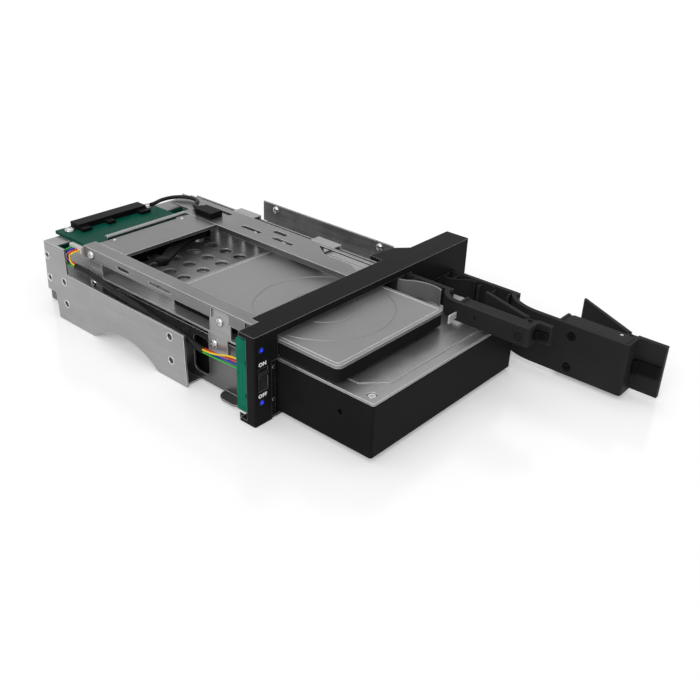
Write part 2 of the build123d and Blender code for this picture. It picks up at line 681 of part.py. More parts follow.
def make_harness():
    """Black sheath along the left side and the four coloured wires that leave both its ends."""
    bends = ((4.4, 48.5, 22.0), (3.8, 64.5, 23.6), (3.1, 81.5, 26.3), (2.8, 97.0, 28.6),
             (2.8, deck_rear - 10.0, 31.0))
    middle = [(x - half_bay, y, z) for x, y, z in bends]
    sheath = [sheath_front, *middle, sheath_rear]
    run_wire([(sheath, (0, 1, 0), (0, 1, 0))], sheath_r, "harness_sheath")
    colours = ("yellow", "red", "blue", "green")
    offsets = ((-0.6, 0.6), (0.6, 0.6), (0.6, -0.6), (-0.6, -0.6))
    for i, colour in enumerate(colours):
        dx, dz = offsets[i]
        front_end = (front_wire_x, header_y, 26.0 - 1.5 * i)
        front_start = (sheath_front[0] + dx, sheath_front[1], sheath_front[2] + dz)
        rear_start = (sheath_rear[0] + dx, sheath_rear[1], sheath_rear[2] + dz)
        rear_end = (rear_header_x, deck_rear + 4.6 + 2.0 * i, board_z - 1.6)
        bulge = (sheath_rear[0] + 0.2, deck_rear + 7.0 + 2.0 * i, 35.2 - 0.3 * i)
        front = ([front_start, front_end], (0, -1, 0), (0, -1, 0))
        rear = ([rear_start, bulge, rear_end], (0, 1, 0), (1, 0, 0))
        run_wire([front, rear], wire_r, f"wire_{colour}")


def make_sockets():
    """Drive sockets at the rear of both bays, the lower back board and the ejector arm."""
    board_y = (big_rear_in + 4.0, big_rear_in + 4.0 + board_thick)
    with BuildPart() as back:
        slab((shell_left + 7.5, shell_right - 4), board_y, (floor_z[1], 26.0))
    save(back, "lower_back_board")
    with BuildPart() as socket:
        slab((notch_x[0] + 0.5, notch_x[1] - 0.5), (big_rear_in - notch_deep + 0.5, board_y[0]),
             (notch_z[0] + 0.5, notch_z[1] - 0.5))
        slab((notch_x[0] - 3, notch_x[1] + 3), (big_rear_in + 0.5, board_y[0]),
             (notch_z[0] - 0.5, notch_z[1] + 2.5))
    save(socket, "drive35_socket")
    with BuildPart() as small:
        x = (small_left + 14.25, small_right - 3.6)
        slab(x, (small_rear_in + 0.5, deck_rear), (tray_top, arm_z[0]))
        slab((x[0] + 14, x[0] + 28), (small_rear_in + 0.5, small_rear_in + 2.4), (small_z + 4, arm_z[0]),
             Mode.SUBTRACT)
    save(small, "drive25_socket")
    with BuildPart() as arm:
        with BuildSketch(Plane.XY.offset(arm_z[0])):
            with BuildLine():
                near = Spline(*[(arm_x + x, small_rear_in + y) for x, y in arm_near])
                far = Spline(*[(arm_x + x, small_rear_in + y) for x, y in arm_far])
                Line(near @ 0, far @ 0)
                Line(near @ 1, far @ 1)
            make_face()
            with Locations((arm_x, small_rear_in - 26.7)):
                Circle(2.6)
        extrude(amount=arm_z[1] - arm_z[0])
        slab((arm_x + 32.9, arm_x + 39.9), (small_rear_in - 12.5, small_rear_in + 5.5), arm_z)
    save(arm, "ejector_arm")


def make_tab_screws():
    """Round-head screws that hold the tray's tabs to the rail and to the bay's left wall."""
    with BuildPart() as screws:
        for x, y, z in ((tray_left, 29.4, 35.4), (tray_left - sheet, deck_rear - 6, 38.8),
                        (shell_left - plate_sheet - sheet, 34.0, 23.2),
                        (shell_left - plate_sheet - sheet, deck_rear - 4, 23.2)):
            with BuildSketch(Plane.YZ.offset(x)):
                with Locations((y, z)):
                    Circle(2.2)
            extrude(amount=-1.3)
        rims = screws.edges().filter_by(GeomType.CIRCLE)
        outer = [e for e in rims if min(abs(e.center().X - x) for x in screw_faces) < 0.01]
        chamfer(outer, 0.4)
    save(screws, "tab_screws")


def make_large_drive():
    """3.5 inch drive: black body, grooved cover and four cover screws."""
    x = (big_left, big_right)
    y = (big_out, big_out + big_size[1])
    top = big_z + big_size[2]
    with BuildPart() as body:
        slab(x, y, (big_z, top - cover_big))
        fillet(body.edges().filter_by(Axis.Z), 1.0)
        slab(notch_x, (y[1] - notch_deep, y[1] + 1), notch_z, Mode.SUBTRACT)
        for face, depth in ((x[0], 3.0), (x[1], -3.0)):
            with BuildSketch(Plane.YZ.offset(face)):
                with Locations(*[(y[0] + step, big_z + 6.35) for step in (88.9, 130.5)]):
                    Circle(1.6)
                with Locations((y[0] + 16.7, big_z + 14.6)):
                    Circle(1.3)
            extrude(amount=depth, mode=Mode.SUBTRACT)
    save(body, "drive35_body")
    ring = (x[0] + 7.0, y[0] + 4.5, x[1] - 7.0, y[1] - 4.5)
    with BuildPart() as cover:
        slab(x, y, (top - cover_big, top))
        fillet(cover.edges().filter_by(Axis.Z), 1.0)
        with BuildSketch(Plane.XY.offset(top)):
            with Locations(((ring[0] + ring[2]) / 2, (ring[1] + ring[3]) / 2)):
                outline = Rectangle(ring[2] - ring[0], ring[3] - ring[1])
                chamfer(outline.vertices(), 9.5)
                offset(amount=-0.9, kind=Kind.INTERSECTION, mode=Mode.SUBTRACT)
        extrude(amount=-groove, mode=Mode.SUBTRACT)
        for sx, sy in cover_screw_places():
            rod(sx, sy, (top - 0.9, top), 2.1, Mode.SUBTRACT)
    save(cover, "drive35_cover")
    with BuildPart() as screws:
        for sx, sy in cover_screw_places():
            rod(sx, sy, (top - 0.9, top - 0.15), 1.7)
            slab((sx - 1.0, sx + 1.0), (sy - 0.25, sy + 0.25), (top - 0.5, top), Mode.SUBTRACT)
            slab((sx - 0.25, sx + 0.25), (sy - 1.0, sy + 1.0), (top - 0.5, top), Mode.SUBTRACT)
    save(screws, "drive35_screws")


def cover_screw_places():
    """Plan positions of the large drive's cover screws."""
    rows = (big_out + 4.7, big_out + big_size[1] - 4.7)
    return [(x, y) for x in (big_left + 4.6, big_right - 4.6) for y in rows]


def make_small_drive():
    """2.5 inch drive: black body and embossed cover."""
    x = (small_left, small_right)
    y = (small_out, small_out + small_size[1])
    top = small_z + small_size[2]
    with BuildPart() as body:
        slab(x, y, (small_z, top - cover_small))
        fillet(body.edges().filter_by(Axis.Z), 3.0)
    save(body, "drive25_body")
    middle = ((x[0] + x[1]) / 2, y[0] + 39.0)
    with BuildPart() as cover:
        slab(x, y, (top - cover_small, top))
        fillet(cover.edges().filter_by(Axis.Z), 3.0)
        with BuildSketch(Plane.XY.offset(top)):
            with Locations(((x[0] + x[1]) / 2, (y[0] + y[1]) / 2)):
                RectangleRounded(small_size[0] - 3.0, small_size[1] - 3.0, 2.0)
                RectangleRounded(small_size[0] - 4.0, small_size[1] - 4.0, 1.6, mode=Mode.SUBTRACT)
            with Locations(middle):
                Circle(31.3)
                Circle(30.7, mode=Mode.SUBTRACT)
                Circle(15.2)
                Circle(14.8, mode=Mode.SUBTRACT)
        extrude(amount=-0.25, mode=Mode.SUBTRACT)
    save(cover, "drive25_cover")


def make_upper_hook():
    """Small plate hook on the upper latch box, beside the drive's front corner."""
    with BuildPart() as hook:
        upper.block((37.6, 38.6), (upper.box_depth, 13.2), (30.2, 33.0))
        upper.block((36.2, 38.6), (12.4, 13.2), (30.2, 33.0))
    save(hook, "upper_door_hook")


lower_leaf = ((5.5, 9.5), (10.0, 9.2), (14.0, 7.4), (17.0, 4.8), (19.6, 3.1))
upper_leaf = ((4.5, 8.5), (8.0, 7.8), (11.0, 5.8), (15.0, 4.0), (20.0, 3.2), (24.0, 3.7), (26.5, 4.8))
make_bezel()
make_strike_post()
make_hinge_pins()
make_controls()
for one, curve in zip(doors, (lower_leaf, upper_leaf)):
    make_door(one)
    make_flap(one)
    make_tongue(one)
    make_leaf(one, curve)
make_door_screws()
make_upper_hook()
make_side_plate(1, "left_side_plate")
make_side_plate(-1, "right_side_plate")
make_bay_shell()
make_upper_tray()
make_rails()
make_rear_board()
make_harness()
make_sockets()
make_tab_screws()
make_large_drive()
make_small_drive()
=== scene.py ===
"""Hot swap drive cage: camera, light, materials and the fine pieces that the plain solids leave out.

Places and sizes are written in millimetres and turned into metres by mm() or MM.
"""
from math import cos, pi, radians, sin

import bmesh
import bpy
from mathutils import Matrix, Vector


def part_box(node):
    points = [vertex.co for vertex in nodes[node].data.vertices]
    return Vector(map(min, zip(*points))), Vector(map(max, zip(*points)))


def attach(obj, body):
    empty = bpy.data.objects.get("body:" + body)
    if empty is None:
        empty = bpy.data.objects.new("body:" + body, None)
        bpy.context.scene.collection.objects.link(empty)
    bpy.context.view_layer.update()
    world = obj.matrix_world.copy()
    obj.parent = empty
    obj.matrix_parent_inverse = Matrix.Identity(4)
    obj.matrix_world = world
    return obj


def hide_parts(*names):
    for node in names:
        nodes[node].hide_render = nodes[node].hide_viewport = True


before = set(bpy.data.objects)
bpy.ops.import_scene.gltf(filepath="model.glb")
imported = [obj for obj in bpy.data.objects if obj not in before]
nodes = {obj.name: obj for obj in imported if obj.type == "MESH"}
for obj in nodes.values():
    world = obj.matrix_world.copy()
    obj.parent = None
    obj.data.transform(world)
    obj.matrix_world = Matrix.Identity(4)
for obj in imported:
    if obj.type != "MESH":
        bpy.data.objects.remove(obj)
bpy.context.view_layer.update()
MM = 0.001
scene = bpy.context.scene

# Camera as fitted to the photograph: degrees, millimetres, pixels
CAMERA_AZIMUTH, CAMERA_ELEVATION, CAMERA_ROLL = -50.31, 29.13, 2.38
CAMERA_PLACE = (-285.2, -224.0, 209.0)
FOCAL_PIXELS, PHOTO_PIXELS = 893.5, 700.0
SENSOR_WIDTH = 36.0

# Light: strength of the white surroundings where they are seen and where they only light the object
SEEN_WHITE, HIDDEN_WHITE = 1.0, 0.45
LAMPS = (  # name, direction it shines from, width in degrees, strength
    ("left", (-1.0, -0.25, 0.75), 42.0, 1.22),
    ("top", (0.05, 0.3, 1.0), 50.0, 0.58),
    ("front", (-0.35, -1.0, 0.7), 40.0, 0.2),
)
FLOOR_HALF_SIZE = 6.0
FLOOR_DROP = 0.2
FLOOR_LIFT = 0.24

# Places on the cage
LIGHT_CENTRES = ((-70.4, -0.2, 35.3), (-70.4, -0.2, 10.9))
LIGHT_RADIUS = 1.15
WORD_SIZE = 2.35
SIDE_SCREW_Y = (54.4, 133.65)
SIDE_HOLE_Z = (10.0, 21.8)
REAR_LEFT_HOLES = ((146.0, 32.2), (146.0, 20.4))
SIDE_PLATE_X = 73.0
RIGHT_PLATE_INSIDE_X = 72.0
PLATTER_CENTRE, PLATTER_QUIET_RADIUS = (-25.3, 7.0, 36.4), 32.0


def mm(*values):
    """Millimetres to metres."""
    return tuple(v * MM for v in values)


def make_camera():
    """Camera at the photograph's angle."""
    azimuth, elevation, roll = map(radians, (CAMERA_AZIMUTH, CAMERA_ELEVATION, CAMERA_ROLL))
    back = Vector((sin(azimuth) * cos(elevation), -cos(azimuth) * cos(elevation), sin(elevation)))
    right = Vector((cos(azimuth), sin(azimuth), 0.0))
    up = back.cross(right)
    turned_right = cos(roll) * right + sin(roll) * up
    turned_up = -sin(roll) * right + cos(roll) * up
    data = bpy.data.cameras.new("camera")
    data.sensor_width = SENSOR_WIDTH
    data.lens = FOCAL_PIXELS / PHOTO_PIXELS * SENSOR_WIDTH
    data.clip_start = 0.01
    data.clip_end = 20.0
    camera = bpy.data.objects.new("camera", data)
    scene.collection.objects.link(camera)
    turn = Matrix((turned_right, turned_up, back)).transposed().to_4x4()
    camera.matrix_world = Matrix.Translation(mm(*CAMERA_PLACE)) @ turn
    scene.camera = camera


# Node helpers
def new_material(name):
    """Material with its node tree and its Principled shader."""
    material = bpy.data.materials.new(name)
    material.use_nodes = True
    tree = material.node_tree
    return material, tree, tree.nodes["Principled BSDF"]


def add(tree, kind, **values):
    """New node; a value goes to the input of that name, or else to the node's own setting."""
    node = tree.nodes.new(kind)
    for key, value in values.items():
        if key in node.inputs:
            node.inputs[key].default_value = value
        else:
            setattr(node, key, value)
    return node


def maths(tree, operation, *operands, clamp=False):
    """Maths node over sockets and numbers."""
    node = add(tree, "ShaderNodeMath", operation=operation, use_clamp=clamp)
    for socket, operand in zip(node.inputs, operands):
        if isinstance(operand, float):
            socket.default_value = operand
        else:
            tree.links.new(operand, socket)
    return node.outputs[0]


def map_range(tree, source, from_range, to_range, **settings):
    """Map a value from one range to another, clamped."""
    node = add(tree, "ShaderNodeMapRange", **settings)
    names = ("From Min", "From Max", "To Min", "To Max")
    for name, value in zip(names, (*from_range, *to_range)):
        node.inputs[name].default_value = value
    tree.links.new(source, node.inputs["Value"])
    return node.outputs["Result"]


def spread(tree, source, low, high):
    """Stretch the middle of a noise over a range."""
    return map_range(tree, source, (0.3, 0.7), (low, high))


def noise(tree, scale, detail=3.0, roughness=0.5, stretch=(1.0, 1.0, 1.0)):
    """Noise in object space, stretched along the axes."""
    place = add(tree, "ShaderNodeTexCoord")
    mapping = add(tree, "ShaderNodeMapping")
    mapping.inputs["Scale"].default_value = stretch
    tree.links.new(place.outputs["Object"], mapping.inputs["Vector"])
    texture = add(tree, "ShaderNodeTexNoise", Scale=scale, Detail=detail, Roughness=roughness)
    tree.links.new(mapping.outputs["Vector"], texture.inputs["Vector"])
    return texture.outputs["Fac"]


def distance(tree, centre):
    """Distance from a point in object space."""
    place = add(tree, "ShaderNodeTexCoord")
    gap = add(tree, "ShaderNodeVectorMath", operation="DISTANCE")
    tree.links.new(place.outputs["Object"], gap.inputs[0])
    gap.inputs[1].default_value = mm(*centre)
    return gap.outputs["Value"]


def outside(tree, centre, radius):
    """0.2 within a radius of a point, 1 beyond it."""
    edge = radius * MM
    return map_range(tree, distance(tree, centre), (edge, edge * 1.03), (0.2, 1.0))


def ramp(tree, source, low, high):
    """Colour between two tones along the middle of a noise."""
    node = add(tree, "ShaderNodeValToRGB")
    for element, position, tone in zip(node.color_ramp.elements, (0.3, 0.7), (low, high)):
        element.position = position
        element.color = (*tone, 1.0)
    tree.links.new(source, node.inputs["Fac"])
    return node.outputs["Color"]


def mix(tree, factor, first, second):
    """Colour between a socket and a fixed tone."""
    node = add(tree, "ShaderNodeMix", data_type="RGBA")
    tree.links.new(factor, node.inputs["Factor"])
    tree.links.new(first, node.inputs[6])
    node.inputs[7].default_value = (*second, 1.0)
    return node.outputs[2]


def edge_mask(tree, radius):
    """1 near sharp edges, 0 on flats, and the rounded normal that tells them apart."""
    bevel = add(tree, "ShaderNodeBevel", samples=6)
    bevel.inputs["Radius"].default_value = radius
    geometry = add(tree, "ShaderNodeNewGeometry")
    dot = add(tree, "ShaderNodeVectorMath", operation="DOT_PRODUCT")
    tree.links.new(bevel.outputs["Normal"], dot.inputs[0])
    tree.links.new(geometry.outputs["Normal"], dot.inputs[1])
    mask = map_range(tree, dot.outputs["Value"], (0.985, 0.88), (0.0, 1.0))
    return mask, bevel.outputs["Normal"]


def bump(tree, shader, source, strength, depth, normal=None):
    """Relief of a depth in millimetres."""
    node = add(tree, "ShaderNodeBump", Strength=strength, Distance=depth * MM)
    tree.links.new(source, node.inputs["Height"])
    if normal is not None:
        tree.links.new(normal, node.inputs["Normal"])
    tree.links.new(node.outputs["Normal"], shader.inputs["Normal"])


def scaled(tone, factor):
    """Tone made darker or lighter."""
    return tuple(c * factor for c in tone)


def grey(value):
    return value, value, value


# Materials
def plastic(name, dark, light, rough, edge, grain=900.0, relief=0.12, highlight_strength=0.35, specular=0.03):
    """Moulded plastic: fine spark-eroded grain, faint mottling and a painted highlight along the edges."""
    material, tree, shader = new_material(name)
    broad = noise(tree, 45.0)
    fine = noise(tree, grain, 2.0)
    mask, rounded_normal = edge_mask(tree, 0.45 * MM)
    # Painted highlight: the edges are mixed towards the lighter edge tone.
    painted_highlight = maths(tree, "MULTIPLY", mask, highlight_strength)
    tone = ramp(tree, broad, dark, light)
    tree.links.new(mix(tree, painted_highlight, tone, edge), shader.inputs["Base Color"])
    tree.links.new(spread(tree, broad, rough - 0.04, rough + 0.05), shader.inputs["Roughness"])
    shader.inputs["Specular IOR Level"].default_value = specular
    bump(tree, shader, fine, relief, 0.1, rounded_normal)
    return material


def sheet_metal(name, dark, light, rough, edge, metallic=0.85, stretch=(1.0, 0.03, 1.0), quiet=None):
    """Sheet: streaks along the rolling direction, cloudy plating, and a painted highlight on the cut edges.

    Within the quiet zone, a centre and a radius, the painted edge highlight stays faint.
    """
    material, tree, shader = new_material(name)
    streak = noise(tree, 900.0, 4.0, 0.6, stretch)
    cloud = noise(tree, 28.0, 5.0, 0.6)
    mask, rounded_normal = edge_mask(tree, 0.4 * MM)
    if quiet:
        mask = maths(tree, "MULTIPLY", mask, outside(tree, *quiet))
    # Painted highlight: the edges are mixed towards the edge tone and made less metallic.
    painted_highlight = maths(tree, "MULTIPLY", mask, 0.9)
    both = maths(tree, "MULTIPLY_ADD", streak, 0.35, maths(tree, "MULTIPLY", cloud, 0.65))
    tone = ramp(tree, both, dark, light)
    tree.links.new(mix(tree, painted_highlight, tone, edge), shader.inputs["Base Color"])
    gloss = map_range(tree, painted_highlight, (0.0, 1.0), (metallic, metallic * 0.25))
    tree.links.new(gloss, shader.inputs["Metallic"])
    tree.links.new(spread(tree, cloud, rough - 0.06, rough + 0.08), shader.inputs["Roughness"])
    bump(tree, shader, streak, 0.06, 0.05, rounded_normal)
    return material


def circuit_board(name, base, trace):
    """Solder mask over copper: thin raised traces, a grid broken up by noise."""
    material, tree, shader = new_material(name)
    rough = 0.42
    place = add(tree, "ShaderNodeTexCoord")
    brick = add(tree, "ShaderNodeTexBrick", Scale=260.0)
    brick.inputs["Mortar Size"].default_value = 0.035
    for socket, tone in (("Color1", grey(0.0)), ("Color2", grey(0.0)), ("Mortar", grey(1.0))):
        brick.inputs[socket].default_value = (*tone, 1.0)
    tree.links.new(place.outputs["Object"], brick.inputs["Vector"])
    patches = maths(tree, "GREATER_THAN", noise(tree, 130.0, 1.0), 0.52)
    lines = maths(tree, "MULTIPLY", brick.outputs["Color"], patches)
    cloud = noise(tree, 60.0)
    tone = ramp(tree, cloud, base, scaled(base, 1.15))
    tree.links.new(mix(tree, lines, tone, trace), shader.inputs["Base Color"])
    tree.links.new(spread(tree, cloud, rough - 0.05, rough + 0.05), shader.inputs["Roughness"])
    shader.inputs["Specular IOR Level"].default_value = 0.05
    bump(tree, shader, lines, 0.25, 0.04)
    return material


def insulation(name, colour):
    """Extruded wire insulation: faint drawing lines and a slightly uneven tone."""
    material, tree, shader = new_material(name)
    drawn = noise(tree, 500.0, 2.0, 0.5, (1.0, 0.1, 1.0))
    tree.links.new(ramp(tree, drawn, scaled(colour, 0.86), colour), shader.inputs["Base Color"])
    tree.links.new(spread(tree, drawn, 0.33, 0.46), shader.inputs["Roughness"])
    bump(tree, shader, drawn, 0.08, 0.05)
    return material


def sleeve(name):
    """Rubber-like sleeve with a dull, slightly dusty skin."""
    material, tree, shader = new_material(name)
    dust = noise(tree, 220.0, 3.0)
    tone = ramp(tree, dust, (0.008, 0.008, 0.009), (0.02, 0.02, 0.022))
    tree.links.new(tone, shader.inputs["Base Color"])
    tree.links.new(spread(tree, dust, 0.3, 0.42), shader.inputs["Roughness"])
    shader.inputs["Specular IOR Level"].default_value = 0.12
    bump(tree, shader, dust, 0.1, 0.06)
    return material


def glowing(name, colour, strength):
    """Clear lens lit from behind, brightest in the middle of each light."""
    material, tree, shader = new_material(name)
    tone = ramp(tree, noise(tree, 700.0, 1.0), scaled(colour, 0.2), scaled(colour, 0.3))
    tree.links.new(tone, shader.inputs["Base Color"])
    shader.inputs["Emission Color"].default_value = (*colour, 1.0)
    nearest = maths(tree, "MINIMUM", *(distance(tree, centre) for centre in LIGHT_CENTRES))
    fade = map_range(tree, nearest, (0.0, LIGHT_RADIUS * MM), (strength, strength * 0.04),
                     interpolation_type="SMOOTHSTEP")
    tree.links.new(fade, shader.inputs["Emission Strength"])
    shader.inputs["Roughness"].default_value = 0.2
    return material


def dull_print(name, colour):
    """Screen-printed ink with a faint white emission, a painted glow, so that it reads as white on the dark
    face.
    """
    material, tree, shader = new_material(name)
    grain = noise(tree, 1500.0, 2.0)
    tree.links.new(ramp(tree, grain, scaled(colour, 0.85), colour), shader.inputs["Base Color"])
    shader.inputs["Roughness"].default_value = 0.6
    # Painted glow: a faint white emission on the ink.
    shader.inputs["Emission Color"].default_value = (1.0, 1.0, 1.0, 1.0)
    shader.inputs["Emission Strength"].default_value = 0.3
    bump(tree, shader, grain, 0.1, 0.03)
    return material


# The tone after the roughness in each plastic and sheet below is a painted highlight along the edges.
EVEN = (1.0, 1.0, 1.0)
BLACK = plastic("bezel_black", (0.01, 0.01, 0.0103), (0.0135, 0.0135, 0.0139), 0.42,
                (0.35, 0.35, 0.355), highlight_strength=0.85)
DOOR = plastic("door_black", (0.02, 0.02, 0.0204), (0.026, 0.026, 0.0266), 0.4,
               (0.08, 0.08, 0.082), highlight_strength=0.5)
LID_BLACK = plastic("lid_black", (0.026, 0.026, 0.0265), (0.034, 0.034, 0.0347), 0.45, grey(0.1))
DARK = plastic("connector_black", (0.005, 0.005, 0.0055), (0.009, 0.009, 0.0095), 0.38,
               (0.03, 0.03, 0.032))
LEAF = plastic("push_plate_grey", (0.13, 0.13, 0.134), (0.2, 0.2, 0.205), 0.4, (0.5, 0.5, 0.51),
               highlight_strength=0.8, specular=0.5)
WHITE = plastic("header_white", (0.62, 0.61, 0.58), (0.7, 0.69, 0.66), 0.4, (0.85, 0.85, 0.82),
                highlight_strength=0.3, specular=0.5)
CASTING = plastic("drive_black", (0.008, 0.008, 0.0084), (0.012, 0.012, 0.0125), 0.46, grey(0.05),
                  grain=500.0, relief=0.15, highlight_strength=0.4)
ZINC = sheet_metal("zinc_sheet", grey(0.27), grey(0.38), 0.32, grey(0.95))
RAIL = sheet_metal("rail_sheet", grey(0.15), grey(0.235), 0.3, grey(0.95))
# Painted shade: a darker copy of the zinc sheet for the right plate's inner face.
SHADED_INNER = sheet_metal("shaded_inner_sheet", grey(0.05), grey(0.26), 0.25, grey(0.8), 0.3)
DECK = sheet_metal("deck_sheet", (0.24, 0.24, 0.242), (0.4, 0.4, 0.403), 0.28, grey(0.9), 0.4)
TRAY = sheet_metal("tray_sheet", (0.09, 0.09, 0.092), (0.18, 0.18, 0.183), 0.3, grey(0.75))
HOOK = sheet_metal("hook_zinc", grey(0.5), grey(0.62), 0.4, grey(0.9), 0.1)
BRIGHT = sheet_metal("bright_steel", (0.42, 0.42, 0.425), (0.56, 0.56, 0.565), 0.2, grey(0.95), 1.0)
COVER = sheet_metal("drive_cover", grey(0.225), grey(0.275), 0.4, grey(0.95), 0.55, EVEN,
                    (PLATTER_CENTRE, PLATTER_QUIET_RADIUS))
LID = sheet_metal("large_drive_cover", grey(0.24), grey(0.36), 0.3, grey(0.95), 0.8, EVEN)
BOARD = circuit_board("board_green", (0.0005, 0.056, 0.036), (0.001, 0.08, 0.052))
LIGHT_BOARD = circuit_board("light_board_green", (0.0005, 0.125, 0.075), (0.001, 0.165, 0.1))
LENS = glowing("blue_lens", (0.015, 0.05, 0.95), 1.5)
SHEATH = sleeve("sheath_black")
INK = dull_print("white_ink", grey(0.82))

finish_of = {
    # Bezel and switch
    "bezel": BLACK, "strike_post": BLACK, "strike_post_screws": BRIGHT, "status_lights": LENS,
    "switch_housing": DARK, "power_rocker": LID_BLACK, "front_light_board": LIGHT_BOARD,
    "front_wire_header": WHITE,
    # Sheets and their screws
    "left_side_plate": ZINC, "right_side_plate": SHADED_INNER, "lower_bay_shell": TRAY,
    "upper_bay_tray": DECK, "left_top_rail": RAIL, "right_top_rail": RAIL,
    "top_cross_plate": RAIL, "rear_bridge": RAIL, "tab_screws": BRIGHT,
    # Boards, sockets and wires
    "rear_board": BOARD, "rear_board_screws": BRIGHT, "rear_board_socket": DARK,
    "rear_board_bar": ZINC, "rear_wire_header": WHITE, "loop_cable": SHEATH,
    "loop_cable_plug": DARK, "harness_sheath": SHEATH, "lower_back_board": BOARD,
    "drive35_socket": DARK, "drive25_socket": DARK, "ejector_arm": DARK,
    "wire_yellow": insulation("yellow_wire", (0.88, 0.62, 0.01)),
    "wire_red": insulation("red_wire", (0.72, 0.012, 0.01)),
    "wire_blue": insulation("blue_wire", (0.012, 0.016, 0.55)),
    "wire_green": insulation("green_wire", (0.01, 0.42, 0.02)),
    # Doors
    "lower_hinge_pin": BRIGHT, "lower_door": DOOR, "lower_door_screws": DARK,
    "lower_push_plate": DOOR, "lower_release_flap": DOOR, "lower_flap_pin": DARK,
    "lower_latch_tongue": DARK,
    "upper_hinge_pin": BRIGHT, "upper_door": DOOR, "upper_door_hook": BRIGHT,
    "upper_push_plate": LEAF, "upper_release_flap": DOOR, "upper_flap_pin": DARK,
    "upper_latch_tongue": DARK,
    # Drives
    "drive35_body": CASTING, "drive35_cover": LID, "drive35_screws": BRIGHT,
    "drive25_body": CASTING, "drive25_cover": COVER,
}


def dress_nodes():
    for name, obj in nodes.items():
        obj.data.materials.clear()
        obj.data.materials.append(finish_of[name])


# Surroundings
def seen_factor(tree):
    """1 for what the camera, a gloss or a glass sees, 0 for light that falls on the object."""
    path = add(tree, "ShaderNodeLightPath")
    total = path.outputs["Is Camera Ray"]
    for name in ("Is Glossy Ray", "Is Transmission Ray"):
        total = maths(tree, "ADD", total, path.outputs[name], clamp=True)
    return total


def where_seen(tree, seen, hidden):
    """One shader where the surface is seen, another where it only lights the object."""
    choose = add(tree, "ShaderNodeMixShader")
    tree.links.new(seen_factor(tree), choose.inputs["Fac"])
    tree.links.new(hidden.outputs[0], choose.inputs[1])
    tree.links.new(seen.outputs[0], choose.inputs[2])
    return choose.outputs[0]


def make_world():
    """White surroundings."""
    world = bpy.data.worlds.new("world")
    scene.world = world
    world.use_nodes = True
    tree = world.node_tree
    tree.nodes.clear()
    out = tree.nodes.new("ShaderNodeOutputWorld")
    backdrop, glow = (add(tree, "ShaderNodeBackground", Color=(1, 1, 1, 1), Strength=strength)
                      for strength in (SEEN_WHITE, HIDDEN_WHITE))
    tree.links.new(where_seen(tree, backdrop, glow), out.inputs["Surface"])


def make_lamps():
    """Broad, soft lamps."""
    for name, place, width, strength in LAMPS:
        data = bpy.data.lights.new(name, "SUN")
        data.angle = radians(width)
        data.energy = strength
        lamp = bpy.data.objects.new(name, data)
        lamp.location = place
        lamp.rotation_euler = (-Vector(place)).to_track_quat("-Z", "Y").to_euler()
        scene.collection.objects.link(lamp)


def make_floor():
    """Pale, slightly glossy floor that keeps the object's shadow."""
    half = FLOOR_HALF_SIZE
    corners = [(-half, -half, 0), (half, -half, 0), (half, half, 0), (-half, half, 0)]
    mesh = bpy.data.meshes.new("floor")
    mesh.from_pydata(corners, [], [(0, 1, 2, 3)])
    floor = bpy.data.objects.new("floor", mesh)
    floor.location = mm(0.0, 0.0, -FLOOR_DROP)
    scene.collection.objects.link(floor)
    material, tree, shader = new_material("floor_white")
    grain = noise(tree, 3.0, 2.0)
    tree.links.new(ramp(tree, grain, grey(0.86), grey(0.88)), shader.inputs["Base Color"])
    shader.inputs["Roughness"].default_value = 0.16
    shader.inputs["Specular IOR Level"].default_value = 0.35
    lift = add(tree, "ShaderNodeEmission", Color=(1, 1, 1, 1), Strength=FLOOR_LIFT)
    nothing = add(tree, "ShaderNodeEmission", Color=(0, 0, 0, 1), Strength=0.0)
    both = add(tree, "ShaderNodeAddShader")
    tree.links.new(shader.outputs[0], both.inputs[0])
    tree.links.new(where_seen(tree, lift, nothing), both.inputs[1])
    tree.links.new(both.outputs[0], tree.nodes["Material Output"].inputs["Surface"])
    mesh.materials.append(material)


# Fine pieces that ride on the frame
def link(obj, material, body):
    """Put a piece in the scene, on a body and in a material slot."""
    obj.data.materials.clear()
    obj.data.materials.append(material)
    scene.collection.objects.link(obj)
    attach(obj, body)
    return obj


def word(name, text, x, z):
    """Printed word on the bezel's front face, centred at x and z."""
    curve = bpy.data.curves.new(name, "FONT")
    curve.body = text
    curve.size = WORD_SIZE * MM
    curve.align_x = "CENTER"
    curve.align_y = "CENTER"
    curve.extrude = 0.03 * MM
    curve.offset = 0.055 * MM
    curve.space_character = 1.08
    obj = bpy.data.objects.new(name, curve)
    obj.location = mm(x, -0.03, z)
    obj.rotation_euler = (pi / 2, 0, 0)
    obj.scale = (1.1, 1.0, 1.0)
    link(obj, INK, "cage")


def islands(name):
    """Lowest and highest corner, in millimetres, of each separate solid of a node."""
    work = bmesh.new()
    work.from_mesh(nodes[name].data)
    bmesh.ops.remove_doubles(work, verts=work.verts, dist=1e-6)
    left = set(work.verts)
    found = []
    while left:
        group, rest = set(), [left.pop()]
        while rest:
            vert = rest.pop()
            group.add(vert)
            for edge in vert.link_edges:
                other = edge.other_vert(vert)
                if other in left:
                    left.discard(other)
                    rest.append(other)
        low = [min(v.co[i] for v in group) / MM for i in range(3)]
        high = [max(v.co[i] for v in group) / MM for i in range(3)]
        found.append((low, high))
    work.free()
    return sorted(found)


def from_shapes(name, shapes):
    """One mesh object from several (vertices, faces) shapes in millimetres."""
    verts, faces = [], []
    for shape_verts, shape_faces in shapes:
        start = len(verts)
        verts.extend(mm(*v) for v in shape_verts)
        faces.extend([start + i for i in face] for face in shape_faces)
    mesh = bpy.data.meshes.new(name)
    mesh.from_pydata(verts, [], faces)
    mesh.validate()
    work = bmesh.new()
    work.from_mesh(mesh)
    bmesh.ops.recalc_face_normals(work, faces=work.faces)
    work.to_mesh(mesh)
    work.free()
    return bpy.data.objects.new(name, mesh)


def turned(normal):
    """Rotation that takes +Z to the normal."""
    return Vector(normal).to_track_quat("Z", "Y").to_matrix()


